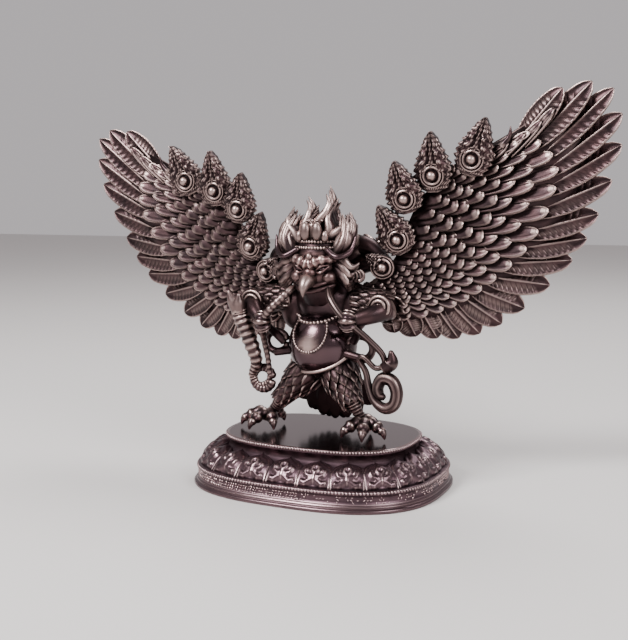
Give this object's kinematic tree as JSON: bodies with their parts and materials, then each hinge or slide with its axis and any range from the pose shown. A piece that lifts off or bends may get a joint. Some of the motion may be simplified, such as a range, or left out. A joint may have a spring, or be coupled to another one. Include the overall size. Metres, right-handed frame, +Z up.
{
  "type": "garuda figure",
  "caption": "Cast garuda figure with raised feathered wings, flame hair, a hooked beak and two snakes, standing on an oval lotus plinth.",
  "frame": {"origin": "middle of the plinth's flat underside", "axes": "+Z up, the figure faces -Y, its own left wing towards +X"},
  "size_m": [0.2287, 0.0826, 0.1545],
  "materials": {
    "figure_copper": "cast and chased copper alloy, antiqued purple-brown, dark in the recesses, edges rubbed to pinkish copper",
    "plinth_copper": "copper alloy, antiqued purplish pink, top plate polished, recesses nearly black"
  },
  "bodies": {
    "root": {"garuda_figure": "figure_copper", "lotus_plinth": "plinth_copper"}
  },
  "joints": []
}
